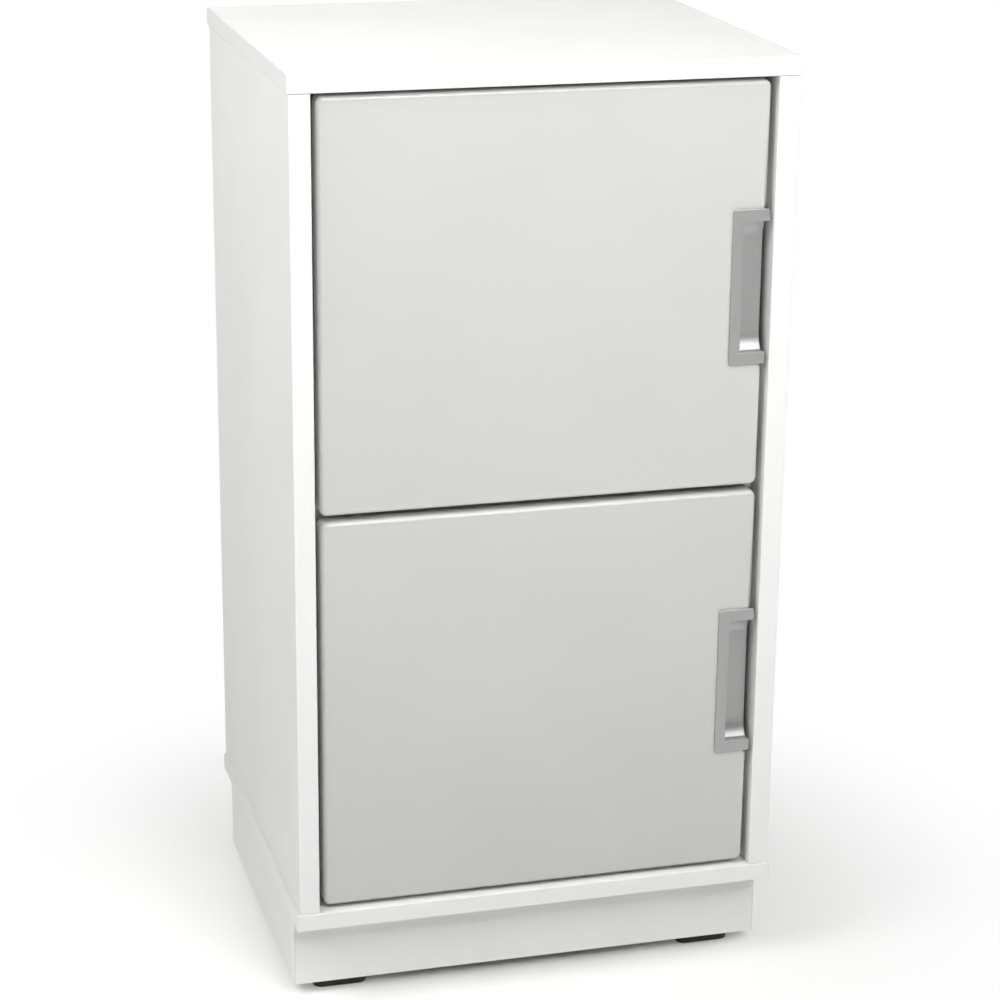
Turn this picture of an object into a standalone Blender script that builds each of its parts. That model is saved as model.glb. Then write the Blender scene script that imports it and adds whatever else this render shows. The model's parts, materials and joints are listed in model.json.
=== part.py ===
"""Bedside cabinet of white board with two inset doors, edge pulls and a set-back plinth.

Metres, +Z up. X runs to the right along the front, Y runs from the front to the back, and the origin is on
the floor under the middle of the cabinet.
"""

import math

import bmesh
import bpy
from mathutils import Matrix, Vector

# Clearance between pieces that touch
FIT = 0.0003

# Carcass
CARCASS_WIDTH = 0.432
CARCASS_DEPTH = 0.366
OPENING_HEIGHT = 0.717
SIDE_THICKNESS = 0.018
BOARD_THICKNESS = 0.016
BACK_THICKNESS = 0.004
BACK_INSET = 0.010
GROOVE_DEPTH = 0.006
TOP_SIDE_OVERHANG = 0.0012
TOP_BACK_OVERHANG = 0.005
BOTTOM_SIDE_OVERHANG = 0.002
BOTTOM_FRONT_OVERHANG = 0.001
BOARD_EDGE_RADIUS = 0.001

# Plinth and feet
PLINTH_HEIGHT = 0.067
PLINTH_RECESS = 0.030
BLOCK_SIZE = 0.048
BLOCK_HEIGHT = 0.045
FOOT_SIZE = 0.049
FOOT_HEIGHT = 0.011
FOOT_SIDE_INSET = 0.020
FOOT_FRONT_INSET = 0.010
FOOT_CORNER_RADIUS = 0.008
FOOT_EDGE_RADIUS = 0.0015

# Doors
DOOR_THICKNESS = 0.018
DOOR_SETBACK = 0.005
DOOR_SIDE_GAP = 0.005
DOOR_END_GAP = 0.0035
DOOR_MIDDLE_GAP = 0.006
DOOR_CORNER_RADIUS = 0.006
DOOR_EDGE_RADIUS = 0.004

# Edge pulls: a frame on the door's face round a scoop that is open at the door's free edge
PULL_HEIGHT = 0.135
PULL_REACH = 0.0304
PULL_OVERHANG = 0.0018
PULL_SIDE_BAR = 0.0095
PULL_END_BAR = 0.0105
PULL_PROUD = 0.002
PULL_FLANGE = 0.003
PULL_WALL = 0.002
PULL_CORNER_RADIUS = 0.002
PULL_EDGE_RADIUS = 0.0006
SCOOP_DEPTH = 0.014
SCOOP_LEDGE = 0.0085
SCOOP_RAMP = 0.0157
SCOOP_STEPS = 8

# Single-joint cup hinges
HINGE_END_DISTANCE = 0.075
CUP_DIAMETER = 0.035
CUP_EDGE = 0.005
CUP_DEPTH = 0.013
CUP_WALL = 0.001
CUP_FLANGE_WIDTH = 0.058
CUP_FLANGE_DEPTH = 0.021
CUP_FLANGE_THICKNESS = 0.001
PIVOT_FROM_EDGE = 0.011
PIVOT_FROM_FACE = 0.009
PIN_RADIUS = 0.00125
PIN_LENGTH = 0.022
EYE_RADIUS = 0.0026
LUG_WIDTH = 0.007
LUG_GAP = 0.0151
ARM_WIDTH = 0.013
ARM_THICKNESS = 0.0026
ARM_CRANK = 0.013
ARM_TURN_DEPTH = 0.050
ARM_FOOT_LENGTH = 0.040
PLATE_WIDTH = 0.040
PLATE_LENGTH = 0.046
PLATE_THICKNESS = 0.003
SWING_CLEARANCE = 0.0015

# Buffers that the free edges of the doors close on
BUFFER_WIDTH = 0.010
BUFFER_HEIGHT = 0.004
BUFFER_FROM_SIDE = 0.045

ROUND_STEPS = 32

# Places that follow from the sizes
FRONT = (BOTTOM_FRONT_OVERHANG - CARCASS_DEPTH - TOP_BACK_OVERHANG) / 2
BACK = FRONT + CARCASS_DEPTH
HALF_WIDTH = CARCASS_WIDTH / 2
INNER_HALF = HALF_WIDTH - SIDE_THICKNESS
PLINTH_TOP = FOOT_HEIGHT + PLINTH_HEIGHT
OPENING_BOTTOM = PLINTH_TOP + BOARD_THICKNESS
OPENING_TOP = OPENING_BOTTOM + OPENING_HEIGHT
CABINET_TOP = OPENING_TOP + BOARD_THICKNESS
OPENING_MIDDLE = OPENING_BOTTOM + OPENING_HEIGHT / 2
DOOR_FRONT = FRONT + DOOR_SETBACK
DOOR_BACK = DOOR_FRONT + DOOR_THICKNESS
DOOR_LEFT = -INNER_HALF + DOOR_SIDE_GAP
DOOR_RIGHT = INNER_HALF - DOOR_SIDE_GAP
PIVOT_X = DOOR_LEFT + PIVOT_FROM_EDGE
PIVOT_Y = DOOR_FRONT + PIVOT_FROM_FACE
SWING_RADIUS = math.hypot(PIVOT_FROM_EDGE, DOOR_THICKNESS - PIVOT_FROM_FACE)
MIDDLE_FRONT = PIVOT_Y + SWING_RADIUS + SWING_CLEARANCE
CUP_X = DOOR_LEFT + CUP_EDGE + CUP_DIAMETER / 2
CUP_FLOOR = DOOR_BACK - CUP_DEPTH
BACK_PANEL_FRONT = BACK - BACK_INSET - BACK_THICKNESS


def clear_scene():
    """Remove the objects of the startup scene."""
    for obj in list(bpy.data.objects):
        bpy.data.objects.remove(obj, do_unlink=True)


def new_collection(name):
    collection = bpy.data.collections.new(name)
    bpy.context.scene.collection.children.link(collection)
    return collection


def new_material(name, colour, roughness, metallic=0.0):
    """Plain Principled material."""
    material = bpy.data.materials.new(name)
    material.use_nodes = True
    shader = material.node_tree.nodes["Principled BSDF"]
    shader.inputs["Base Color"].default_value = (*colour, 1.0)
    shader.inputs["Roughness"].default_value = roughness
    shader.inputs["Metallic"].default_value = metallic
    return material


clear_scene()
CABINET = new_collection("bedside_cabinet")
CUTTERS = new_collection("cutters")
WHITE_BOARD = new_material("white_melamine", (0.86, 0.86, 0.84), 0.42)
WHITE_BACK = new_material("white_hardboard", (0.80, 0.80, 0.78), 0.55)
DOOR_FOIL = new_material("grey_door_foil", (0.58, 0.59, 0.56), 0.38)
PULL_METAL = new_material("satin_aluminium", (0.56, 0.56, 0.55), 0.34, 1.0)
HINGE_STEEL = new_material("nickel_plated_steel", (0.62, 0.61, 0.58), 0.28, 1.0)
FOOT_PLASTIC = new_material("black_plastic", (0.015, 0.015, 0.016), 0.55)
BUFFER_PLASTIC = new_material("clear_white_plastic", (0.80, 0.80, 0.78), 0.5)
RAW_WOOD = new_material("pale_wood", (0.62, 0.48, 0.32), 0.65)


def add_object(name, mesh, place, material=None):
    """Object for a mesh. One without a material is a cutter, which stays out of renders."""
    obj = bpy.data.objects.new(name, mesh)
    obj.location = place
    if material:
        mesh.materials.append(material)
        CABINET.objects.link(obj)
    else:
        CUTTERS.objects.link(obj)
        obj.hide_render = True
        obj.display_type = "WIRE"
    return obj


def edges_along(shape, axis):
    """Edges of a box that run along an axis."""
    index = "XYZ".index(axis)
    found = []
    for edge in shape.edges:
        start, end = edge.verts
        if abs(start.co[index] - end.co[index]) > FIT:
            found.append(edge)
    return found


def round_edges(shape, edges, radius, segments):
    bmesh.ops.bevel(shape, geom=edges, offset=radius, segments=segments, profile=0.5, affect="EDGES")


def box(name, low, high, material=None, rounding=0.0, along=None):
    """Box between two corners. A rounding eases all its edges, or only those along one axis."""
    low, high = Vector(low), Vector(high)
    shape = bmesh.new()
    bmesh.ops.create_cube(shape, size=1.0)
    bmesh.ops.scale(shape, vec=high - low, verts=shape.verts)
    if along:
        round_edges(shape, edges_along(shape, along), rounding, 2)
    mesh = bpy.data.meshes.new(name)
    shape.to_mesh(mesh)
    shape.free()
    obj = add_object(name, mesh, (low + high) / 2, material)
    if rounding and not along:
        bevel(obj, rounding, 2)
    return obj


def rod(name, centre, radius, length, axis, material=None):
    """Cylinder round a centre, along Y or Z."""
    shape = bmesh.new()
    bmesh.ops.create_cone(
        shape, cap_ends=True, segments=ROUND_STEPS, radius1=radius, radius2=radius, depth=length
    )
    if axis == "Y":
        bmesh.ops.rotate(shape, matrix=Matrix.Rotation(math.pi / 2, 3, "X"), verts=shape.verts)
    mesh = bpy.data.meshes.new(name)
    shape.to_mesh(mesh)
    shape.free()
    mesh.shade_smooth()
    mesh.set_sharp_from_angle(angle=math.radians(40))
    return add_object(name, mesh, centre, material)


def rounded_plate(name, low, high, material, corner_radius, edge_radius, axis):
    """Plate with rounded corners about an axis, and a rounded rim on its low face along that axis."""
    low, high = Vector(low), Vector(high)
    index = "XYZ".index(axis)
    shape = bmesh.new()
    bmesh.ops.create_cube(shape, size=1.0)
    bmesh.ops.scale(shape, vec=high - low, verts=shape.verts)
    round_edges(shape, edges_along(shape, axis), corner_radius, 5)
    face = min(shape.faces, key=lambda found: found.calc_center_median()[index])
    round_edges(shape, list(face.edges), edge_radius, 4)
    mesh = bpy.data.meshes.new(name)
    shape.to_mesh(mesh)
    shape.free()
    mesh.shade_smooth()
    mesh.set_sharp_from_angle(angle=math.radians(40))
    return add_object(name, mesh, (low + high) / 2, material)


def outline_cutter(name, points, place, thickness, rotation):
    """Cutter from a flat outline, thickened evenly to both sides of its plane."""
    curve = bpy.data.curves.new(name, "CURVE")
    curve.dimensions = "2D"
    curve.fill_mode = "BOTH"
    curve.extrude = thickness / 2
    spline = curve.splines.new("POLY")
    spline.points.add(len(points) - 1)
    for point, (across, up) in zip(spline.points, points):
        point.co = (across, up, 0.0, 1.0)
    spline.use_cyclic_u = True
    guide = bpy.data.objects.new(name + "_outline", curve)
    CUTTERS.objects.link(guide)
    bpy.context.view_layer.update()
    evaluated = guide.evaluated_get(bpy.context.evaluated_depsgraph_get())
    mesh = bpy.data.meshes.new_from_object(evaluated)
    bpy.data.objects.remove(guide, do_unlink=True)
    shape = bmesh.new()
    shape.from_mesh(mesh)
    bmesh.ops.remove_doubles(shape, verts=shape.verts, dist=0.00001)
    bmesh.ops.recalc_face_normals(shape, faces=shape.faces)
    shape.to_mesh(mesh)
    shape.free()
    cutter = add_object(name, mesh, place)
    cutter.rotation_euler = rotation
    return cutter


def bevel(obj, width, segments):
    modifier = obj.modifiers.new("rounding", "BEVEL")
    modifier.width = width
    modifier.segments = segments
    modifier.limit_method = "ANGLE"


def boolean(obj, operation, other):
    modifier = obj.modifiers.new(operation.lower(), "BOOLEAN")
    modifier.operation = operation
    modifier.object = other


def hang(pieces, axis):
    """Parent pieces to the empty on their joint's axis, where they are."""
    for piece in pieces:
        piece.parent = axis
        piece.matrix_parent_inverse = Matrix.Translation(-axis.location)


def back_groove():
    """Room for the edges of the back panel in the boards round it."""
    return box(
        "back_groove",
        (-INNER_HALF - GROOVE_DEPTH, BACK_PANEL_FRONT - FIT, OPENING_BOTTOM - GROOVE_DEPTH),
        (INNER_HALF + GROOVE_DEPTH, BACK_PANEL_FRONT + BACK_THICKNESS + FIT, OPENING_TOP + GROOVE_DEPTH),
    )


def carcass():
    """Top, bottom, sides, middle panel and the back panel in its groove."""
    groove = back_groove()
    top_half = HALF_WIDTH + TOP_SIDE_OVERHANG
    bottom_half = HALF_WIDTH + BOTTOM_SIDE_OVERHANG
    grooved = [
        box(
            "top_panel",
            (-top_half, FRONT, OPENING_TOP),
            (top_half, BACK + TOP_BACK_OVERHANG, CABINET_TOP),
            WHITE_BOARD,
            BOARD_EDGE_RADIUS,
        ),
        box(
            "bottom_panel",
            (-bottom_half, FRONT - BOTTOM_FRONT_OVERHANG, PLINTH_TOP + FIT),
            (bottom_half, BACK, OPENING_BOTTOM),
            WHITE_BOARD,
            BOARD_EDGE_RADIUS,
        ),
    ]
    for name, outer, inner in (("left", -HALF_WIDTH, -INNER_HALF), ("right", INNER_HALF, HALF_WIDTH)):
        grooved.append(
            box(
                f"side_panel_{name}",
                (outer, FRONT, OPENING_BOTTOM + FIT),
                (inner, BACK, OPENING_TOP - FIT),
                WHITE_BOARD,
                BOARD_EDGE_RADIUS,
                "Z",
            )
        )
    for board in grooved:
        boolean(board, "DIFFERENCE", groove)
    box(
        "middle_panel",
        (-INNER_HALF + FIT, MIDDLE_FRONT, OPENING_MIDDLE - BOARD_THICKNESS / 2),
        (INNER_HALF - FIT, BACK_PANEL_FRONT - FIT, OPENING_MIDDLE + BOARD_THICKNESS / 2),
        WHITE_BOARD,
        BOARD_EDGE_RADIUS,
    )
    reach = GROOVE_DEPTH - FIT
    box(
        "back_panel",
        (-INNER_HALF - reach, BACK_PANEL_FRONT, OPENING_BOTTOM - reach),
        (INNER_HALF + reach, BACK_PANEL_FRONT + BACK_THICKNESS, OPENING_TOP + reach),
        WHITE_BACK,
    )


def plinth():
    """Four boards, the front and back ones running the full width, with a block in each inner corner."""
    plinth_front = FRONT + PLINTH_RECESS
    plinth_back = BACK - PLINTH_RECESS
    rows = {"front": plinth_front, "back": plinth_back - BOARD_THICKNESS}
    for name, y in rows.items():
        box(
            f"plinth_{name}",
            (-HALF_WIDTH, y, FOOT_HEIGHT),
            (HALF_WIDTH, y + BOARD_THICKNESS, PLINTH_TOP),
            WHITE_BOARD,
            BOARD_EDGE_RADIUS,
        )
    inner_front = plinth_front + BOARD_THICKNESS + FIT
    inner_back = plinth_back - BOARD_THICKNESS - FIT
    for name, x in (("left", -HALF_WIDTH), ("right", HALF_WIDTH - BOARD_THICKNESS)):
        box(
            f"plinth_{name}",
            (x, inner_front, FOOT_HEIGHT),
            (x + BOARD_THICKNESS, inner_back, PLINTH_TOP),
            WHITE_BOARD,
            BOARD_EDGE_RADIUS,
        )
    inner_side = HALF_WIDTH - BOARD_THICKNESS - FIT
    foot_side = HALF_WIDTH - FOOT_SIDE_INSET
    for side, sign in (("left", -1), ("right", 1)):
        for end, wall, step in (("front", inner_front + FIT, 1), ("back", inner_back - FIT, -1)):
            block_x = sorted((sign * inner_side, sign * (inner_side - BLOCK_SIZE)))
            block_y = sorted((wall, wall + step * BLOCK_SIZE))
            box(
                f"corner_block_{end}_{side}",
                (block_x[0], block_y[0], FOOT_HEIGHT),
                (block_x[1], block_y[1], FOOT_HEIGHT + BLOCK_HEIGHT),
                RAW_WOOD,
            )
            outer_wall = wall - step * (BOARD_THICKNESS + 2 * FIT)
            foot_x = sorted((sign * foot_side, sign * (foot_side - FOOT_SIZE)))
            foot_start = outer_wall + step * FOOT_FRONT_INSET
            foot_y = sorted((foot_start, foot_start + step * FOOT_SIZE))
            rounded_plate(
                f"foot_{end}_{side}",
                (foot_x[0], foot_y[0], 0.0),
                (foot_x[1], foot_y[1], FOOT_HEIGHT - FIT),
                FOOT_PLASTIC,
                FOOT_CORNER_RADIUS,
                FOOT_EDGE_RADIUS,
                "Z",
            )


def scoop_outline():
    """Side view of the finger recess: a flat floor that curves up to a ledge at each end bar."""
    half = PULL_HEIGHT / 2 - PULL_END_BAR
    sweep = 2 * math.atan((SCOOP_DEPTH - SCOOP_LEDGE) / SCOOP_RAMP)
    radius = SCOOP_RAMP / math.sin(sweep)
    upper = [(-PULL_PROUD, half)]
    for step in range(SCOOP_STEPS + 1):
        turn = sweep * (1 - step / SCOOP_STEPS)
        depth = SCOOP_DEPTH - radius * (1 - math.cos(turn))
        upper.append((depth, half - SCOOP_RAMP + radius * math.sin(turn)))
    lower = [(depth, -height) for depth, height in reversed(upper)]
    return upper + lower


def edge_pull(name, middle):
    """Pull with its flange on the door's face and its body let into the door's free edge."""
    left = DOOR_RIGHT - PULL_REACH
    right = DOOR_RIGHT + PULL_OVERHANG
    face = DOOR_FRONT - PULL_PROUD
    half = PULL_HEIGHT / 2
    pull = rounded_plate(
        f"pull_{name}",
        (left, face, middle - half),
        (right, DOOR_FRONT - FIT, middle + half),
        PULL_METAL,
        PULL_CORNER_RADIUS,
        PULL_EDGE_RADIUS,
        "Y",
    )
    inset = PULL_FLANGE
    body_back = face + SCOOP_DEPTH + PULL_WALL
    body = box(
        f"pull_body_{name}",
        (left + inset, face + PULL_EDGE_RADIUS, middle - half + inset),
        (right - PULL_EDGE_RADIUS, body_back, middle + half - inset),
    )
    scoop_left = left + PULL_SIDE_BAR
    scoop_width = right - scoop_left + PULL_PROUD
    scoop = outline_cutter(
        f"pull_scoop_{name}",
        scoop_outline(),
        (scoop_left + scoop_width / 2, face, middle),
        scoop_width,
        (math.pi / 2, 0.0, math.pi / 2),
    )
    boolean(pull, "UNION", body)
    boolean(pull, "DIFFERENCE", scoop)
    notch = box(
        f"pull_notch_{name}",
        (left + inset - FIT, face - PULL_PROUD, middle - half + inset - FIT),
        (right + PULL_PROUD, body_back + FIT, middle + half - inset + FIT),
    )
    return pull, notch


def hinge_cup(name, z):
    """Cup pressed into the door's back, with a flange and two lugs that hold the pin."""
    radius = CUP_DIAMETER / 2 - FIT
    cup_middle = (CUP_FLOOR + DOOR_BACK) / 2
    cup = rod(f"hinge_cup_{name}", (CUP_X, cup_middle, z), radius, CUP_DEPTH, "Y", HINGE_STEEL)
    flange = box(
        f"cup_flange_{name}",
        (CUP_X - CUP_FLANGE_DEPTH / 2, DOOR_BACK + FIT, z - CUP_FLANGE_WIDTH / 2),
        (CUP_X + CUP_FLANGE_DEPTH / 2, DOOR_BACK + FIT + CUP_FLANGE_THICKNESS, z + CUP_FLANGE_WIDTH / 2),
    )
    neck = rod(f"cup_neck_{name}", (CUP_X, DOOR_BACK, z), radius - FIT, 2 * CUP_FLANGE_THICKNESS + FIT, "Y")
    hollow_length = CUP_DEPTH + 4 * CUP_FLANGE_THICKNESS
    hollow = rod(
        f"cup_hollow_{name}",
        (CUP_X, CUP_FLOOR + CUP_WALL + hollow_length / 2, z),
        radius - CUP_WALL,
        hollow_length,
        "Y",
    )
    lug_reach = CUP_DIAMETER / 2
    for side, sign in (("low", -1), ("high", 1)):
        ends = sorted((z + sign * LUG_GAP / 2, z + sign * (LUG_GAP / 2 + lug_reach)))
        lug = box(
            f"cup_lug_{side}_{name}",
            (PIVOT_X - LUG_WIDTH / 2, CUP_FLOOR, ends[0]),
            (PIVOT_X + LUG_WIDTH / 2, PIVOT_Y + LUG_WIDTH / 2, ends[1]),
        )
        boolean(hollow, "DIFFERENCE", lug)
    boolean(cup, "UNION", flange)
    boolean(cup, "UNION", neck)
    boolean(cup, "DIFFERENCE", hollow)
    pin_hole = rod(f"cup_pin_hole_{name}", (PIVOT_X, PIVOT_Y, z), PIN_RADIUS + FIT, PIN_LENGTH + 2 * FIT, "Z")
    boolean(cup, "DIFFERENCE", pin_hole)
    pocket_place = (CUP_X, cup_middle + FIT, z)
    pocket = rod(f"cup_pocket_{name}", pocket_place, CUP_DIAMETER / 2, CUP_DEPTH + 4 * FIT, "Y")
    return cup, pocket


def hinge_pin(name, z):
    return rod(f"hinge_pin_{name}", (PIVOT_X, PIVOT_Y, z), PIN_RADIUS, PIN_LENGTH, "Z", HINGE_STEEL)


def hinge_arm(name, z):
    """Cranked strip from the plate on the side panel round into the cup, ending in an eye on the pin."""
    plate_face = -INNER_HALF + FIT + PLATE_THICKNESS
    foot_x = plate_face + FIT + ARM_THICKNESS / 2
    turn_y = FRONT + ARM_TURN_DEPTH
    path = [
        (PIVOT_X + EYE_RADIUS / 2, PIVOT_Y),
        (PIVOT_X + ARM_CRANK, PIVOT_Y),
        (PIVOT_X + ARM_CRANK, turn_y),
        (foot_x, turn_y),
        (foot_x, turn_y + ARM_FOOT_LENGTH),
    ]
    shape = bmesh.new()
    points = [shape.verts.new((x - PIVOT_X, y - PIVOT_Y, -ARM_WIDTH / 2)) for x, y in path]
    edges = [shape.edges.new(pair) for pair in zip(points, points[1:])]
    raised = bmesh.ops.extrude_edge_only(shape, edges=edges)["geom"]
    upper = [item for item in raised if isinstance(item, bmesh.types.BMVert)]
    bmesh.ops.translate(shape, vec=(0.0, 0.0, ARM_WIDTH), verts=upper)
    bmesh.ops.recalc_face_normals(shape, faces=shape.faces)
    mesh = bpy.data.meshes.new(f"hinge_arm_{name}")
    shape.to_mesh(mesh)
    shape.free()
    arm = add_object(f"hinge_arm_{name}", mesh, (PIVOT_X, PIVOT_Y, z), HINGE_STEEL)
    strip = arm.modifiers.new("strip", "SOLIDIFY")
    strip.thickness = ARM_THICKNESS
    strip.offset = 0.0
    strip.use_even_offset = True
    eye = rod(f"arm_eye_{name}", (PIVOT_X, PIVOT_Y, z), EYE_RADIUS, ARM_WIDTH, "Z")
    bore = rod(f"arm_bore_{name}", (PIVOT_X, PIVOT_Y, z), PIN_RADIUS + FIT, 2 * ARM_WIDTH, "Z")
    boolean(arm, "UNION", eye)
    boolean(arm, "DIFFERENCE", bore)


def hinge_plate(name, z):
    """Plate screwed to the inner face of the left side panel, under the arm's foot."""
    middle = FRONT + ARM_TURN_DEPTH + ARM_FOOT_LENGTH / 2
    box(
        f"hinge_plate_{name}",
        (-INNER_HALF + FIT, middle - PLATE_LENGTH / 2, z - PLATE_WIDTH / 2),
        (-INNER_HALF + FIT + PLATE_THICKNESS, middle + PLATE_LENGTH / 2, z + PLATE_WIDTH / 2),
        HINGE_STEEL,
        BOARD_EDGE_RADIUS,
    )


def buffer(name, height):
    """Soft peg on the middle panel's front edge, just behind the door's free edge."""
    right = INNER_HALF - BUFFER_FROM_SIDE
    box(
        f"buffer_{name}",
        (right - BUFFER_WIDTH, DOOR_BACK + FIT, height - BUFFER_HEIGHT / 2),
        (right, MIDDLE_FRONT - FIT, height + BUFFER_HEIGHT / 2),
        BUFFER_PLASTIC,
        BOARD_EDGE_RADIUS,
    )


def door(name, bottom, top):
    """Door with its pull, cups and pins on one axis, and the arms and plates that carry it."""
    middle = (bottom + top) / 2
    axis = bpy.data.objects.new(f"door_axis_{name}", None)
    axis.location = (PIVOT_X, PIVOT_Y, middle)
    CABINET.objects.link(axis)
    panel = rounded_plate(
        f"door_{name}",
        (DOOR_LEFT, DOOR_FRONT, bottom),
        (DOOR_RIGHT, DOOR_BACK, top),
        DOOR_FOIL,
        DOOR_CORNER_RADIUS,
        DOOR_EDGE_RADIUS,
        "Y",
    )
    pull, notch = edge_pull(name, middle)
    boolean(panel, "DIFFERENCE", notch)
    moving = [panel, pull]
    for place, z in (("bottom", bottom + HINGE_END_DISTANCE), ("top", top - HINGE_END_DISTANCE)):
        hinge = f"{name}_{place}"
        cup, pocket = hinge_cup(hinge, z)
        boolean(panel, "DIFFERENCE", pocket)
        moving += [cup, hinge_pin(hinge, z)]
        hinge_arm(hinge, z)
        hinge_plate(hinge, z)
    hang(moving, axis)


def doors():
    """Upper and lower door of equal height, each closing on a buffer of its own."""
    half_gap = DOOR_MIDDLE_GAP / 2
    door("upper", OPENING_MIDDLE + half_gap, OPENING_TOP - DOOR_END_GAP)
    door("lower", OPENING_BOTTOM + DOOR_END_GAP, OPENING_MIDDLE - half_gap)
    overlap = (half_gap + BOARD_THICKNESS / 2) / 2
    buffer("upper", OPENING_MIDDLE + overlap)
    buffer("lower", OPENING_MIDDLE - overlap)


carcass()
plinth()
doors()
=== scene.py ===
import json
import math

import bmesh
import bpy
from mathutils import Matrix, Vector


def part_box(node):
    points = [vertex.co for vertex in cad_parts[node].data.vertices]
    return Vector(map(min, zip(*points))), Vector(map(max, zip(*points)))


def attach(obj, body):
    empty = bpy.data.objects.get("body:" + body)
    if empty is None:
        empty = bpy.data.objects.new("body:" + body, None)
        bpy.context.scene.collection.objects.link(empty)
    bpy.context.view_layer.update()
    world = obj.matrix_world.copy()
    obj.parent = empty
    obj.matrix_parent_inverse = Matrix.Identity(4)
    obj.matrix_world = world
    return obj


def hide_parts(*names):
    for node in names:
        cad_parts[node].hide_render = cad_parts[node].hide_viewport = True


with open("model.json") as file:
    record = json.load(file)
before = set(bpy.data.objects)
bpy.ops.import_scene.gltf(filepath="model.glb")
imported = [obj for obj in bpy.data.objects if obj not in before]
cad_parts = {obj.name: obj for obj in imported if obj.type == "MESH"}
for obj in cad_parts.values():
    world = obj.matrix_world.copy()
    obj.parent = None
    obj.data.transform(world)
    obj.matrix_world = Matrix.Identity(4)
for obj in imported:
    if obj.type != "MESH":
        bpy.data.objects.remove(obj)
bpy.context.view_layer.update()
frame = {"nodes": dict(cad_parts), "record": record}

RECORD = frame["record"]
BODY_OF = {node: body for body, nodes in RECORD["behaviour"]["bodies"].items() for node in nodes}

# Mesh work: corners closer than this are joined, and edges count as flat, as smooth or as ones to ease
JOINED = 0.000001
FLAT_ANGLE = math.radians(0.5)
SMOOTH_ANGLE = math.radians(50)
EASED_ANGLE = math.radians(35)
EASED_STEPS = 3

# How far the edges of a piece are eased
PULL_EASING = 0.0009
ARM_EASING = 0.0005
BUFFER_EASING = 0.0005
BLOCK_EASING = 0.0004

# Edge bands on the boards: how far in the glue line lies, and how wide it shows
BAND_THICKNESS = 0.0011
GLUE_WIDTH = 0.00022

# Places of a board's materials on its mesh
BOARD_FACE, BAND_FACE, GLUE_FACE = range(3)

# Screw heads: radius and height
HINGE_SCREW = (0.0036, 0.0016)
PULL_SCREW = (0.0042, 0.0022)
FOOT_SCREW = (0.0044, 0.0020)

# Steps round a screw head and over its dome, and the angle up to which its edges look smooth
SCREW_ROUND = 28
DOME_STEPS = 6
SCREW_SMOOTH_ANGLE = math.radians(35)

# Rim and cross of a screw head, in shares of its height and radius
RIM_SHARE = 0.25
CROSS_SPAN = 1.25
CROSS_DEPTH = 0.85

# Bar width of the cross, and its size at the bottom, in shares of the cross
CROSS_BAR = 0.24
CROSS_TAPER = 0.55

# Places of the screws
CUP_SCREW_PITCH = 0.048
PLATE_SCREW_PITCH = 0.028
ARM_SCREW_SPAN = 0.022
ARM_SHEET = 0.0026
PULL_SCREW_PITCH = 0.1244

# Turn of the first screw of each pair about its own axis, in radians
CUP_SCREW_TURN = 0.4
PLATE_SCREW_TURN = 0.9
ARM_SCREW_TURN = 0.2
PULL_SCREW_TURN = 0.0
FOOT_SCREW_TURN = 0.6

# Directions
RIGHT = (1, 0, 0)
BACKWARD = (0, 1, 0)
DOWN = (0, 0, -1)

# Screw hole in a foot pad
FOOT_HOLE_RADIUS = 0.0056
FOOT_HOLE_DEPTH = 0.0042
FOOT_HOLE_TAPER = 0.8

# View of the photograph
CAMERA_PLACE = (-0.641, -2.348, 1.200)
CAMERA_YAW = math.radians(-15.55)
CAMERA_PITCH = math.radians(18.23)
CAMERA_ROLL = math.radians(0.57)
CAMERA_LENS = 100.8
CAMERA_SENSOR = 36.0

# Soft lights: name, place, the point that it faces, side in metres, watts, and spread in degrees
SOFTBOXES = (
    ("key", (0.5, -1.5, 2.1), (0.0, 0.0, 0.45), 1.0, 14.2, 180),
    ("left", (-1.4, -0.5, 2.0), (0.0, 0.0, 0.45), 1.0, 26.5, 180),
    ("front", (0.5, -2.8, 2.7), (0.0, -0.1, 0.95), 1.2, 3.9, 40),
)

# Light from all round, by the height of its direction: from straight below, -1, to straight above, 1
ROUND_LIGHT = ((-0.5, 1.58), (-0.4, 0.40), (-0.08, 0.40), (-0.02, 0.0), (0.6, 0.0), (0.65, 0.75))

# Floor that fades into the white surroundings
FLOOR_ROUND = 96
FLOOR_RADIUS = 0.8
FADE_START = 0.14
FADE_END = 0.58

# Part of a noise's range that its colours and numbers run over
NOISE_LOW = 0.3
NOISE_HIGH = 0.7


# Shader building blocks

def new_material(name, metallic=0.0):
    """Principled material, with the tree, the shader and the place on the object in metres."""
    material = bpy.data.materials.new(name)
    material.use_nodes = True
    tree = material.node_tree
    shader = tree.nodes["Principled BSDF"]
    shader.inputs["Metallic"].default_value = metallic
    place = tree.nodes.new("ShaderNodeTexCoord").outputs["Object"]
    return material, tree, shader, place


def noise(tree, place, scale, detail=2.0, stretch=(1.0, 1.0, 1.0)):
    """Noise with features about 1 / scale metres wide, drawn out where the stretch is small."""
    mapping = tree.nodes.new("ShaderNodeMapping")
    mapping.inputs["Scale"].default_value = stretch
    texture = tree.nodes.new("ShaderNodeTexNoise")
    texture.inputs["Scale"].default_value = scale
    texture.inputs["Detail"].default_value = detail
    tree.links.new(place, mapping.inputs["Vector"])
    tree.links.new(mapping.outputs["Vector"], texture.inputs["Vector"])
    return texture.outputs["Fac"]


def colour_between(tree, factor, dark, light, socket):
    """Colour that runs from dark to light as the noise rises."""
    ramp = tree.nodes.new("ShaderNodeValToRGB")
    ramp.color_ramp.elements[0].position = NOISE_LOW
    ramp.color_ramp.elements[0].color = (*dark, 1.0)
    ramp.color_ramp.elements[1].position = NOISE_HIGH
    ramp.color_ramp.elements[1].color = (*light, 1.0)
    tree.links.new(factor, ramp.inputs["Fac"])
    tree.links.new(ramp.outputs["Color"], socket)


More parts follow.
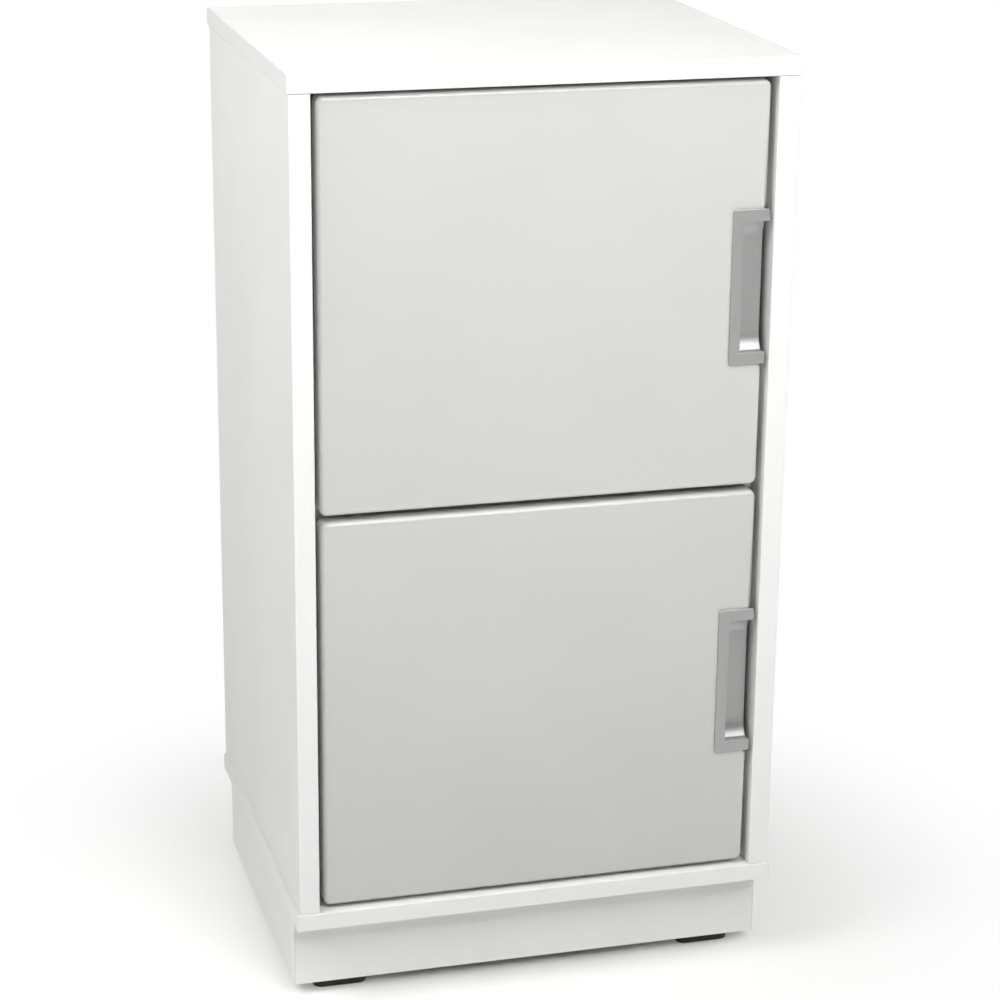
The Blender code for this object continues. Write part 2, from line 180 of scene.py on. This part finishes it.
def value_between(tree, factor, low, high, socket):
    """Number that runs from low to high as the noise rises."""
    spread = tree.nodes.new("ShaderNodeMapRange")
    spread.inputs["From Min"].default_value = NOISE_LOW
    spread.inputs["From Max"].default_value = NOISE_HIGH
    spread.inputs["To Min"].default_value = low
    spread.inputs["To Max"].default_value = high
    tree.links.new(factor, spread.inputs["Value"])
    tree.links.new(spread.outputs["Result"], socket)


def relief(tree, shader, height, depth, strength):
    """Surface relief of a depth in metres, shown at a share of its strength."""
    bump = tree.nodes.new("ShaderNodeBump")
    bump.inputs["Strength"].default_value = strength
    bump.inputs["Distance"].default_value = depth
    tree.links.new(height, bump.inputs["Height"])
    tree.links.new(bump.outputs["Normal"], shader.inputs["Normal"])


# Materials

def white_melamine():
    """White coated board with a fine pearl grain."""
    material, tree, shader, place = new_material("white_melamine_board")
    cloud = noise(tree, place, 9.0, 3.0)
    colour_between(tree, cloud, (0.848, 0.847, 0.819), (0.878, 0.877, 0.850), shader.inputs["Base Color"])
    value_between(tree, noise(tree, place, 45.0), 0.38, 0.46, shader.inputs["Roughness"])
    relief(tree, shader, noise(tree, place, 1100.0, 3.0), 0.00003, 0.35)
    return material


def white_edge_band():
    """Plastic edge strip, a little smoother and lighter than the board."""
    material, tree, shader, place = new_material("white_edge_band")
    cloud = noise(tree, place, 10.0)
    colour_between(tree, cloud, (0.865, 0.865, 0.845), (0.885, 0.885, 0.87), shader.inputs["Base Color"])
    value_between(tree, noise(tree, place, 12.0), 0.30, 0.33, shader.inputs["Roughness"])
    relief(tree, shader, noise(tree, place, 2600.0), 0.000004, 0.1)
    return material


def glue_line():
    """Thin grey-brown line between a board and its edge strip."""
    material, tree, shader, place = new_material("edge_glue_line")
    shader.inputs["Roughness"].default_value = 0.6
    spots = noise(tree, place, 260.0)
    colour_between(tree, spots, (0.40, 0.385, 0.35), (0.52, 0.505, 0.47), shader.inputs["Base Color"])
    return material


def white_hardboard():
    """Thin lacquered back with a faint press grain."""
    material, tree, shader, place = new_material("white_hardboard")
    cloud = noise(tree, place, 14.0, 4.0)
    colour_between(tree, cloud, (0.78, 0.78, 0.765), (0.82, 0.82, 0.805), shader.inputs["Base Color"])
    value_between(tree, noise(tree, place, 60.0), 0.50, 0.62, shader.inputs["Roughness"])
    relief(tree, shader, noise(tree, place, 420.0, 4.0), 0.00006, 0.4)
    return material


def grey_foil():
    """Light greenish-grey foil pressed round the doors."""
    material, tree, shader, place = new_material("grey_door_foil")
    cloud = noise(tree, place, 7.0, 3.0)
    colour_between(tree, cloud, (0.590, 0.600, 0.570), (0.610, 0.620, 0.590), shader.inputs["Base Color"])
    value_between(tree, noise(tree, place, 50.0), 0.33, 0.40, shader.inputs["Roughness"])
    relief(tree, shader, noise(tree, place, 1400.0, 3.0), 0.00002, 0.3)
    shader.inputs["Coat Weight"].default_value = 0.35
    shader.inputs["Coat Roughness"].default_value = 0.22
    return material


def satin_pull():
    """Silver lacquer on metal, with a fine sparkle of flakes and faint marks along its length."""
    material, tree, shader, place = new_material("satin_silver_lacquer", 0.5)
    marks = noise(tree, place, 500.0, 3.0, (1.0, 1.0, 0.04))
    flakes = noise(tree, place, 4200.0, 1.0)
    colour_between(tree, flakes, (0.418, 0.415, 0.410), (0.468, 0.465, 0.459), shader.inputs["Base Color"])
    value_between(tree, marks, 0.33, 0.43, shader.inputs["Roughness"])
    relief(tree, shader, marks, 0.00002, 0.25)
    return material


def nickel_steel():
    """Nickel-plated hinge steel with faint rolling marks."""
    material, tree, shader, place = new_material("nickel_plated_steel", 1.0)
    marks = noise(tree, place, 700.0, 3.0, (1.0, 0.08, 1.0))
    colour_between(tree, marks, (0.62, 0.61, 0.58), (0.65, 0.64, 0.61), shader.inputs["Base Color"])
    value_between(tree, marks, 0.29, 0.33, shader.inputs["Roughness"])
    relief(tree, shader, marks, 0.000002, 0.1)
    return material


def black_plastic():
    """Matt black moulded plastic with a spark-eroded grain."""
    material, tree, shader, place = new_material("black_moulded_plastic")
    grain = noise(tree, place, 1300.0, 3.0)
    colour_between(tree, grain, (0.004, 0.004, 0.0045), (0.009, 0.009, 0.0095), shader.inputs["Base Color"])
    value_between(tree, grain, 0.42, 0.58, shader.inputs["Roughness"])
    relief(tree, shader, grain, 0.00005, 0.5)
    return material


def raw_spruce():
    """Sawn pale wood with straight growth rings."""
    material, tree, shader, place = new_material("raw_spruce")
    rings = noise(tree, place, 160.0, 4.0, (1.0, 1.0, 0.05))
    colour_between(tree, rings, (0.52, 0.37, 0.21), (0.72, 0.57, 0.38), shader.inputs["Base Color"])
    value_between(tree, rings, 0.55, 0.75, shader.inputs["Roughness"])
    relief(tree, shader, rings, 0.0002, 0.5)
    return material


def clear_plastic():
    """Milky soft plastic of the door buffers."""
    material, tree, shader, place = new_material("milky_plastic")
    shader.inputs["Roughness"].default_value = 0.3
    cloud = noise(tree, place, 300.0)
    colour_between(tree, cloud, (0.74, 0.75, 0.74), (0.84, 0.85, 0.84), shader.inputs["Base Color"])
    shader.inputs["Subsurface Weight"].default_value = 0.4
    shader.inputs["Subsurface Scale"].default_value = 0.003
    return material


def floor_paint():
    """White floor that gives way, further out, to white in the picture and to the light all round."""
    material, tree, shader, place = new_material("white_floor")
    shader.inputs["Roughness"].default_value = 0.7
    cloud = noise(tree, place, 3.0)
    colour_between(tree, cloud, (0.925, 0.92, 0.90), (0.935, 0.93, 0.91), shader.inputs["Base Color"])
    distance = tree.nodes.new("ShaderNodeVectorMath")
    distance.operation = "LENGTH"
    fade = tree.nodes.new("ShaderNodeMapRange")
    fade.interpolation_type = "SMOOTHSTEP"
    fade.inputs["From Min"].default_value = FADE_START
    fade.inputs["From Max"].default_value = FADE_END
    seen = tree.nodes.new("ShaderNodeLightPath").outputs["Is Camera Ray"]
    clear = tree.nodes.new("ShaderNodeBsdfTransparent")
    white = tree.nodes.new("ShaderNodeEmission")
    beyond = tree.nodes.new("ShaderNodeMixShader")
    whole = tree.nodes.new("ShaderNodeMixShader")
    tree.links.new(place, distance.inputs[0])
    tree.links.new(distance.outputs["Value"], fade.inputs["Value"])
    tree.links.new(seen, beyond.inputs[0])
    tree.links.new(clear.outputs["BSDF"], beyond.inputs[1])
    tree.links.new(white.outputs["Emission"], beyond.inputs[2])
    tree.links.new(fade.outputs["Result"], whole.inputs[0])
    tree.links.new(shader.outputs["BSDF"], whole.inputs[1])
    tree.links.new(beyond.outputs["Shader"], whole.inputs[2])
    tree.links.new(whole.outputs["Shader"], tree.nodes["Material Output"].inputs["Surface"])
    return material


MELAMINE = white_melamine()
EDGE_BAND = white_edge_band()
GLUE = glue_line()
HARDBOARD = white_hardboard()
FOIL = grey_foil()
PULL_METAL = satin_pull()
STEEL = nickel_steel()
PLASTIC = black_plastic()
SPRUCE = raw_spruce()
BUFFER = clear_plastic()


# Pieces

def shape_of(node):
    """Editable copy of a CAD node's mesh, with its corners joined and its flat faces whole."""
    shape = bmesh.new()
    shape.from_mesh(frame["nodes"][node].data)
    bmesh.ops.remove_doubles(shape, verts=shape.verts, dist=JOINED)
    bmesh.ops.dissolve_limit(shape, angle_limit=FLAT_ANGLE, verts=shape.verts, edges=shape.edges)
    for face in shape.faces:
        face.material_index = 0
    return shape


def new_object(name, shape, materials):
    """Object with smooth rounded edges and flat faces that stay flat."""
    mesh = bpy.data.meshes.new(name)
    shape.to_mesh(mesh)
    shape.free()
    for material in materials:
        mesh.materials.append(material)
    mesh.shade_smooth()
    mesh.set_sharp_from_angle(angle=SMOOTH_ANGLE)
    obj = bpy.data.objects.new(name, mesh)
    bpy.context.scene.collection.objects.link(obj)
    return obj


def even_normals(obj):
    """Shading that follows the large faces."""
    modifier = obj.modifiers.new("even_normals", "WEIGHTED_NORMAL")
    modifier.keep_sharp = True


def stand_for(obj, node):
    """The object takes a CAD node's place and moves with its body."""
    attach(obj, BODY_OF[node])
    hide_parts(node)


def restyle(node, name, material, easing=0.0):
    """CAD shape with eased edges and a finish of its own."""
    obj = new_object(name, shape_of(node), [material])
    if easing:
        bevel = obj.modifiers.new("eased_edges", "BEVEL")
        bevel.width = easing
        bevel.segments = EASED_STEPS
        bevel.limit_method = "ANGLE"
        bevel.angle_limit = EASED_ANGLE
    even_normals(obj)
    stand_for(obj, node)


def carve(obj, cutter, overlapping=False):
    """Mesh of an object with a cutter's shape taken out of it. The cutter is used up."""
    cut = obj.modifiers.new("cut", "BOOLEAN")
    cut.operation = "DIFFERENCE"
    cut.object = cutter
    cut.use_self = overlapping
    bpy.context.view_layer.update()
    mesh = bpy.data.meshes.new_from_object(obj.evaluated_get(bpy.context.evaluated_depsgraph_get()))
    obj.modifiers.remove(cut)
    bpy.data.objects.remove(cutter, do_unlink=True)
    return mesh


def split(shape, point, normal):
    """New edges where a plane passes through the shape."""
    everything = list(shape.verts) + list(shape.edges) + list(shape.faces)
    bmesh.ops.bisect_plane(shape, geom=everything, dist=JOINED, plane_co=point, plane_no=normal)


def banded_board(node, name, banded):
    """Board with edge strips on the named sides, each with its glue line."""
    low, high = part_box(node)
    shape = shape_of(node)
    for side in banded:
        axis = "XYZ".index(side[1])
        outward = Vector([0.0, 0.0, 0.0])
        outward[axis] = 1.0 if side[0] == "+" else -1.0
        edge = high[axis] if side[0] == "+" else low[axis]
        glue_outside = Vector([0.0, 0.0, 0.0])
        glue_outside[axis] = edge - outward[axis] * BAND_THICKNESS
        glue_inside = glue_outside - outward * GLUE_WIDTH
        split(shape, glue_outside, outward)
        split(shape, glue_inside, outward)
        for face in shape.faces:
            reach = (face.calc_center_median() - glue_outside).dot(outward)
            if reach > 0:
                face.material_index = BAND_FACE
            elif reach > -GLUE_WIDTH and face.material_index == BOARD_FACE:
                face.material_index = GLUE_FACE
    obj = new_object(name, shape, [MELAMINE, EDGE_BAND, GLUE])
    even_normals(obj)
    stand_for(obj, node)


def boards():
    """Boards of the box and the plinth, and the thin back."""
    banded_board("top_panel", "top_board", ("-Y", "-X", "+X"))
    banded_board("bottom_panel", "bottom_board", ("-Y", "-X", "+X"))
    banded_board("middle_panel", "middle_board", ("-Y",))
    for side in ("left", "right"):
        banded_board(f"side_panel_{side}", f"side_board_{side}", ("-Y", "+Y"))
        banded_board(f"plinth_{side}", f"plinth_board_{side}", ("-Z",))
    for end in ("front", "back"):
        banded_board(f"plinth_{end}", f"plinth_board_{end}", ("-X", "+X"))
    restyle("back_panel", "back_board", HARDBOARD)


def cross_cutter(size, depth):
    """Cross that is cut into a screw head, narrowing downwards from z 0."""
    shape = bmesh.new()
    for turn in (0.0, math.pi / 2):
        made = bmesh.ops.create_cube(shape, size=1.0)["verts"]
        bmesh.ops.scale(shape, vec=(size, size * CROSS_BAR, 2 * depth), verts=made)
        for vertex in made:
            if vertex.co.z < 0:
                vertex.co.x *= CROSS_TAPER
                vertex.co.y *= CROSS_TAPER
        bmesh.ops.rotate(shape, matrix=Matrix.Rotation(turn, 3, "Z"), verts=made)
    return shape


def screw_mesh(name, radius, height):
    """Domed screw head on z 0 with a cross recess."""
    profile = [(0.0, height)]
    for step in range(1, DOME_STEPS + 1):
        turn = math.pi / 2 * step / DOME_STEPS
        up = height * (RIM_SHARE + (1 - RIM_SHARE) * math.cos(turn))
        profile.append((radius * math.sin(turn), up))
    profile += [(radius, 0.0), (0.0, 0.0)]
    shape = bmesh.new()
    points = [shape.verts.new((across, 0.0, up)) for across, up in profile]
    edges = [shape.edges.new(pair) for pair in zip(points, points[1:])]
    bmesh.ops.spin(
        shape, geom=points + edges, cent=(0, 0, 0), axis=(0, 0, 1), angle=2 * math.pi, steps=SCREW_ROUND
    )
    bmesh.ops.remove_doubles(shape, verts=shape.verts, dist=JOINED)
    bmesh.ops.recalc_face_normals(shape, faces=shape.faces)
    head = new_object(name, shape, [STEEL])
    cutter = new_object(name + "_cross", cross_cutter(radius * CROSS_SPAN, height * CROSS_DEPTH), [STEEL])
    cutter.location.z = height
    mesh = carve(head, cutter, overlapping=True)
    mesh.name = name
    bpy.data.objects.remove(head, do_unlink=True)
    mesh.shade_smooth()
    mesh.set_sharp_from_angle(angle=SCREW_SMOOTH_ANGLE)
    return mesh


def place_screw(name, mesh, place, outward, turn, body):
    """Screw head on a face, looking outward, turned about its own axis."""
    obj = bpy.data.objects.new(name, mesh)
    bpy.context.scene.collection.objects.link(obj)
    facing = Vector(outward).to_track_quat("Z", "Y").to_matrix().to_4x4()
    obj.matrix_world = Matrix.Translation(place) @ facing @ Matrix.Rotation(turn, 4, "Z")
    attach(obj, body)


def screw_pair(name, mesh, middle, apart, outward, turn, body):
    """Two screw heads on a face, evenly to both sides of a middle, each turned another way."""
    for index, sign in enumerate((-1, 1)):
        place = [centre + sign * distance / 2 for centre, distance in zip(middle, apart)]
        place_screw(f"{name}_{index}", mesh, place, outward, turn + index, body)


def hinge(name, door, screw):
    """Cup, pin, arm and plate of a hinge, with the screws that hold and set it."""
    cup = f"hinge_cup_{name}"
    plate = f"hinge_plate_{name}"
    arm = f"hinge_arm_{name}"
    restyle(cup, f"cup_{name}", STEEL)
    restyle(f"hinge_pin_{name}", f"pin_{name}", STEEL)
    restyle(arm, f"arm_{name}", STEEL, ARM_EASING)
    restyle(plate, f"plate_{name}", STEEL)
    low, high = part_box(cup)
    middle = (low + high) / 2
    flange = (middle.x, high.y, middle.z)
    apart = (0, 0, CUP_SCREW_PITCH)
    screw_pair(f"cup_screw_{name}", screw, flange, apart, BACKWARD, CUP_SCREW_TURN, door)
    low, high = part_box(plate)
    middle = (low + high) / 2
    face = (high.x, middle.y, middle.z)
    apart = (0, 0, PLATE_SCREW_PITCH)
    screw_pair(f"plate_screw_{name}", screw, face, apart, RIGHT, PLATE_SCREW_TURN, "carcass")
    arm_foot = min(vertex.co.x for vertex in frame["nodes"][arm].data.vertices)
    face = (arm_foot + ARM_SHEET, middle.y, middle.z)
    apart = (0, ARM_SCREW_SPAN, 0)
    screw_pair(f"arm_screw_{name}", screw, face, apart, RIGHT, ARM_SCREW_TURN, "carcass")


def doors():
    """Doors with their pulls, hinges and buffers."""
    hinge_screw = screw_mesh("hinge_screw_head", *HINGE_SCREW)
    pull_screw = screw_mesh("pull_screw_head", *PULL_SCREW)
    for name in ("upper", "lower"):
        body = f"{name}_door"
        restyle(f"door_{name}", f"door_panel_{name}", FOIL)
        restyle(f"pull_{name}", f"edge_pull_{name}", PULL_METAL, PULL_EASING)
        for end in ("bottom", "top"):
            hinge(f"{name}_{end}", body, hinge_screw)
        low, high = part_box(f"pull_{name}")
        middle = (low + high) / 2
        door_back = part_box(f"door_{name}")[1].y
        back = (middle.x, door_back, middle.z)
        apart = (0, 0, PULL_SCREW_PITCH)
        screw_pair(f"pull_screw_{name}", pull_screw, back, apart, BACKWARD, PULL_SCREW_TURN, body)
        restyle(f"buffer_{name}", f"door_buffer_{name}", BUFFER, BUFFER_EASING)


def foot_with_hole(node, name):
    """Foot pad with a sunk hole for its screw, in the middle of the pad."""
    low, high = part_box(node)
    middle = (low + high) / 2
    pad = new_object(name, shape_of(node), [PLASTIC])
    shape = bmesh.new()
    bmesh.ops.create_cone(
        shape,
        cap_ends=True,
        segments=SCREW_ROUND,
        radius1=FOOT_HOLE_RADIUS,
        radius2=FOOT_HOLE_RADIUS * FOOT_HOLE_TAPER,
        depth=2 * FOOT_HOLE_DEPTH,
    )
    cutter = new_object(name + "_hole", shape, [PLASTIC])
    cutter.location = (middle.x, middle.y, low.z)
    pad.data = carve(pad, cutter)
    even_normals(pad)
    stand_for(pad, node)
    return middle


def feet():
    """Foot pads with their screws, and the wood blocks that the pads are screwed to."""
    foot_screw = screw_mesh("foot_screw_head", *FOOT_SCREW)
    for end in ("front", "back"):
        for side in ("left", "right"):
            name = f"{end}_{side}"
            middle = foot_with_hole(f"foot_{name}", f"foot_pad_{name}")
            place = (middle.x, middle.y, FOOT_HOLE_DEPTH)
            place_screw(f"foot_screw_{name}", foot_screw, place, DOWN, FOOT_SCREW_TURN, "carcass")
            restyle(f"corner_block_{name}", f"wood_block_{name}", SPRUCE, BLOCK_EASING)


# Stage

def floor():
    """Round floor."""
    shape = bmesh.new()
    bmesh.ops.create_circle(shape, cap_ends=True, segments=FLOOR_ROUND, radius=FLOOR_RADIUS)
    mesh = bpy.data.meshes.new("floor")
    shape.to_mesh(mesh)
    shape.free()
    mesh.materials.append(floor_paint())
    obj = bpy.data.objects.new("floor", mesh)
    bpy.context.scene.collection.objects.link(obj)


def softbox(name, place, target, size, power, spread):
    """Square area light that faces a target and stays out of the picture."""
    light = bpy.data.lights.new(name, "AREA")
    light.shape = "SQUARE"
    light.size = size
    light.energy = power
    light.spread = math.radians(spread)
    obj = bpy.data.objects.new(name, light)
    obj.location = place
    obj.rotation_euler = (Vector(target) - Vector(place)).to_track_quat("-Z", "Y").to_euler()
    obj.visible_camera = False
    bpy.context.scene.collection.objects.link(obj)


def round_light(tree):
    """Strength of the light by its direction: up from the pale floor, and down from the ceiling."""
    direction = tree.nodes.new("ShaderNodeTexCoord").outputs["Generated"]
    parts = tree.nodes.new("ShaderNodeSeparateXYZ")
    share = tree.nodes.new("ShaderNodeMapRange")
    share.inputs["From Min"].default_value = -1.0
    ramp = tree.nodes.new("ShaderNodeValToRGB")
    stops = ramp.color_ramp.elements
    while len(stops) < len(ROUND_LIGHT):
        stops.new(1.0)
    for stop, (height, strength) in zip(stops, ROUND_LIGHT):
        stop.position = (height + 1) / 2
        stop.color = (strength, strength, strength, 1.0)
    tree.links.new(direction, parts.inputs["Vector"])
    tree.links.new(parts.outputs["Z"], share.inputs["Value"])
    tree.links.new(share.outputs["Result"], ramp.inputs["Fac"])
    return ramp.outputs["Color"]


def surroundings():
    """White backdrop, with soft light on the object from the floor and the ceiling."""
    world = bpy.data.worlds.new("studio")
    world.use_nodes = True
    tree = world.node_tree
    background = tree.nodes["Background"]
    background.inputs["Color"].default_value = (1.0, 1.0, 1.0, 1.0)
    seen = tree.nodes.new("ShaderNodeLightPath").outputs["Is Camera Ray"]
    strength = tree.nodes.new("ShaderNodeMix")
    strength.inputs["B"].default_value = 1.0
    tree.links.new(seen, strength.inputs["Factor"])
    tree.links.new(round_light(tree), strength.inputs["A"])
    tree.links.new(strength.outputs["Result"], background.inputs["Strength"])
    bpy.context.scene.world = world


def lights():
    """All the soft lights."""
    for row in SOFTBOXES:
        softbox(*row)


def camera():
    """Camera at the photograph's viewing angle."""
    lens = bpy.data.cameras.new("photo_view")
    lens.sensor_width = CAMERA_SENSOR
    lens.lens = CAMERA_LENS
    obj = bpy.data.objects.new("photo_view", lens)
    aim = Matrix.Rotation(CAMERA_YAW, 4, "Z") @ Matrix.Rotation(math.pi / 2 - CAMERA_PITCH, 4, "X")
    obj.matrix_world = Matrix.Translation(CAMERA_PLACE) @ aim @ Matrix.Rotation(CAMERA_ROLL, 4, "Z")
    bpy.context.scene.collection.objects.link(obj)
    bpy.context.scene.camera = obj


boards()
doors()
feet()
floor()
surroundings()
lights()
camera()
bpy.context.scene.view_settings.view_transform = "Standard"
